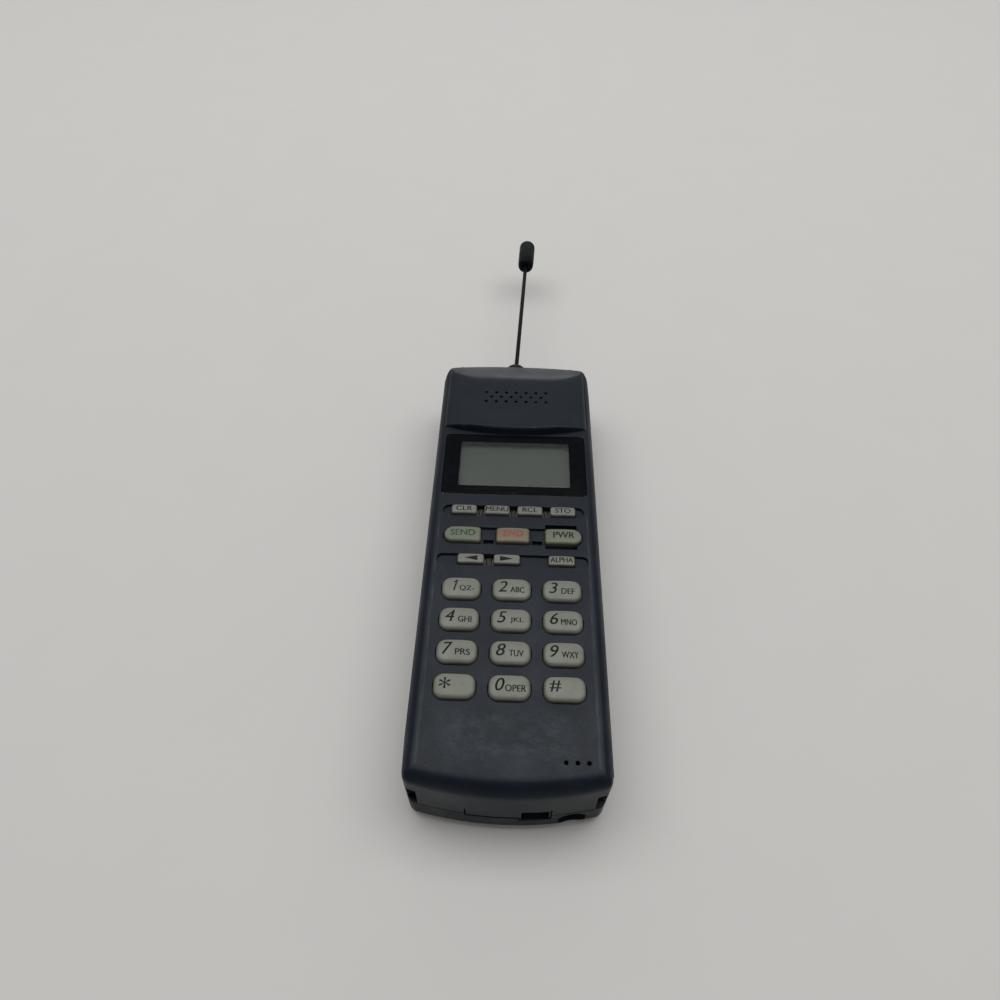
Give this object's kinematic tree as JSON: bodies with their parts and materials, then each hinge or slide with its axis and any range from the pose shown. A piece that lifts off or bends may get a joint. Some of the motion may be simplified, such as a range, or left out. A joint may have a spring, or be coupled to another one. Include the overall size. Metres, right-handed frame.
{
  "type": "brick cell phone",
  "caption": "Bar-shaped cell phone with a raised earpiece hood, rubber-backed keys, pull-out whip antenna and a battery pack that slides off the back.",
  "frame": {"origin": "middle of the flat back that the phone lies on", "axes": "+X across the keypad to the right, +Y towards the antenna, +Z out of the face"},
  "size_m": [0.0574, 0.2683, 0.03],
  "materials": {
    "housing_plastic": "fine-grained charcoal moulding, rubbed smooth",
    "battery_plastic": "fine-grained charcoal moulding",
    "latch_plastic": "ribbed black moulding",
    "display_pane": "black border round a clear field",
    "display_glass": "grey-green liquid-crystal field",
    "white_plastic": "moulded",
    "mat_rubber": "olive silicone",
    "circuit_board": "green solder mask",
    "black_plastic": "moulded",
    "black_rubber": "soft",
    "tin_plate": "folded tin plate",
    "nickel_can": "nickel",
    "gilt_contact": "gilt spring contact",
    "coated_whip": "black coat on a springy wire",
    "screw_steel": "zinc plated",
    "cell_can": "sleeved cell",
    "key_plastic": "satin pale grey key with dark lettering"
  },
  "bodies": {
    "phone": {"front_housing": "housing_plastic", "rear_housing": "housing_plastic", "display_window": "display_pane", "lcd_glass": "display_glass", "lcd_frame": "white_plastic", "keypad_mat": "mat_rubber", "keypad_board": "circuit_board", "main_board": "circuit_board", "board_link": "black_plastic", "shield_cans": "tin_plate", "earpiece": "black_plastic", "earpiece_gasket": "black_rubber", "microphone": "nickel_can", "microphone_boot": "black_rubber", "ringer": "black_plastic", "antenna_bushing": "black_plastic", "antenna_tube": "white_plastic", "antenna_contact": "gilt_contact", "system_connector": "black_plastic", "connector_contacts": "gilt_contact", "terminal_block": "black_plastic", "terminal_springs": "gilt_contact", "housing_screws": "screw_steel"},
    "battery": {"battery_case": "battery_plastic", "battery_cover": "battery_plastic", "battery_cells": "cell_can", "battery_pads": "gilt_contact", "charging_jack": "black_plastic", "jack_pin": "nickel_can"},
    "antenna": {"antenna_rod": "coated_whip", "antenna_stop": "gilt_contact", "antenna_tip": "black_plastic"},
    "latch": {"battery_latch": "latch_plastic"},
    "key_1_cap": {"key_1": "key_plastic"},
    "key_2_cap": {"key_2": "key_plastic"},
    "key_3_cap": {"key_3": "key_plastic"},
    "key_4_cap": {"key_4": "key_plastic"},
    "key_5_cap": {"key_5": "key_plastic"},
    "key_6_cap": {"key_6": "key_plastic"},
    "key_7_cap": {"key_7": "key_plastic"},
    "key_8_cap": {"key_8": "key_plastic"},
    "key_9_cap": {"key_9": "key_plastic"},
    "key_star_cap": {"key_star": "key_plastic"},
    "key_0_cap": {"key_0": "key_plastic"},
    "key_hash_cap": {"key_hash": "key_plastic"},
    "key_clear_cap": {"key_clear": "key_plastic"},
    "key_menu_cap": {"key_menu": "key_plastic"},
    "key_recall_cap": {"key_recall": "key_plastic"},
    "key_store_cap": {"key_store": "key_plastic"},
    "key_send_cap": {"key_send": "key_plastic"},
    "key_end_cap": {"key_end": "key_plastic"},
    "key_power_cap": {"key_power": "key_plastic"},
    "key_left_cap": {"key_left": "key_plastic"},
    "key_right_cap": {"key_right": "key_plastic"},
    "key_alpha_cap": {"key_alpha": "key_plastic"}
  },
  "joints": [
    {"name": "battery_slide", "type": "slide", "parent": "phone", "child": "battery", "axis": [0, -1, 0], "range_m": [0, 0.03]},
    {"name": "antenna_slide", "type": "slide", "parent": "phone", "child": "antenna", "axis": [-0.0454, -0.999, 0], "range_m": [0, 0.0725]},
    {"name": "latch_press", "type": "slide", "parent": "phone", "child": "latch", "axis": [0, 0, 1], "range_m": [0, 0.0012], "stiffness_N_per_m": 1200},
    {"name": "key_1_press", "type": "slide", "parent": "phone", "child": "key_1_cap", "axis": [0, 0, -1], "range_m": [0, 0.0008], "stiffness_N_per_m": 800},
    {"name": "key_2_press", "type": "slide", "parent": "phone", "child": "key_2_cap", "axis": [0, 0, -1], "range_m": [0, 0.0008], "stiffness_N_per_m": 800},
    {"name": "key_3_press", "type": "slide", "parent": "phone", "child": "key_3_cap", "axis": [0, 0, -1], "range_m": [0, 0.0008], "stiffness_N_per_m": 800},
    {"name": "key_4_press", "type": "slide", "parent": "phone", "child": "key_4_cap", "axis": [0, 0, -1], "range_m": [0, 0.0008], "stiffness_N_per_m": 800},
    {"name": "key_5_press", "type": "slide", "parent": "phone", "child": "key_5_cap", "axis": [0, 0, -1], "range_m": [0, 0.0008], "stiffness_N_per_m": 800},
    {"name": "key_6_press", "type": "slide", "parent": "phone", "child": "key_6_cap", "axis": [0, 0, -1], "range_m": [0, 0.0008], "stiffness_N_per_m": 800},
    {"name": "key_7_press", "type": "slide", "parent": "phone", "child": "key_7_cap", "axis": [0, 0, -1], "range_m": [0, 0.0008], "stiffness_N_per_m": 800},
    {"name": "key_8_press", "type": "slide", "parent": "phone", "child": "key_8_cap", "axis": [0, 0, -1], "range_m": [0, 0.0008], "stiffness_N_per_m": 800},
    {"name": "key_9_press", "type": "slide", "parent": "phone", "child": "key_9_cap", "axis": [0, 0, -1], "range_m": [0, 0.0008], "stiffness_N_per_m": 800},
    {"name": "key_star_press", "type": "slide", "parent": "phone", "child": "key_star_cap", "axis": [0, 0, -1], "range_m": [0, 0.0008], "stiffness_N_per_m": 800},
    {"name": "key_0_press", "type": "slide", "parent": "phone", "child": "key_0_cap", "axis": [0, 0, -1], "range_m": [0, 0.0008], "stiffness_N_per_m": 800},
    {"name": "key_hash_press", "type": "slide", "parent": "phone", "child": "key_hash_cap", "axis": [0, 0, -1], "range_m": [0, 0.0008], "stiffness_N_per_m": 800},
    {"name": "key_clear_press", "type": "slide", "parent": "phone", "child": "key_clear_cap", "axis": [0, 0, -1], "range_m": [0, 0.0008], "stiffness_N_per_m": 800},
    {"name": "key_menu_press", "type": "slide", "parent": "phone", "child": "key_menu_cap", "axis": [0, 0, -1], "range_m": [0, 0.0008], "stiffness_N_per_m": 800},
    {"name": "key_recall_press", "type": "slide", "parent": "phone", "child": "key_recall_cap", "axis": [0, 0, -1], "range_m": [0, 0.0008], "stiffness_N_per_m": 800},
    {"name": "key_store_press", "type": "slide", "parent": "phone", "child": "key_store_cap", "axis": [0, 0, -1], "range_m": [0, 0.0008], "stiffness_N_per_m": 800},
    {"name": "key_send_press", "type": "slide", "parent": "phone", "child": "key_send_cap", "axis": [0, 0, -1], "range_m": [0, 0.0008], "stiffness_N_per_m": 800},
    {"name": "key_end_press", "type": "slide", "parent": "phone", "child": "key_end_cap", "axis": [0, 0, -1], "range_m": [0, 0.0008], "stiffness_N_per_m": 800},
    {"name": "key_power_press", "type": "slide", "parent": "phone", "child": "key_power_cap", "axis": [0, 0, -1], "range_m": [0, 0.0008], "stiffness_N_per_m": 800},
    {"name": "key_left_press", "type": "slide", "parent": "phone", "child": "key_left_cap", "axis": [0, 0, -1], "range_m": [0, 0.0008], "stiffness_N_per_m": 800},
    {"name": "key_right_press", "type": "slide", "parent": "phone", "child": "key_right_cap", "axis": [0, 0, -1], "range_m": [0, 0.0008], "stiffness_N_per_m": 800},
    {"name": "key_alpha_press", "type": "slide", "parent": "phone", "child": "key_alpha_cap", "axis": [0, 0, -1], "range_m": [0, 0.0008], "stiffness_N_per_m": 800}
  ]
}
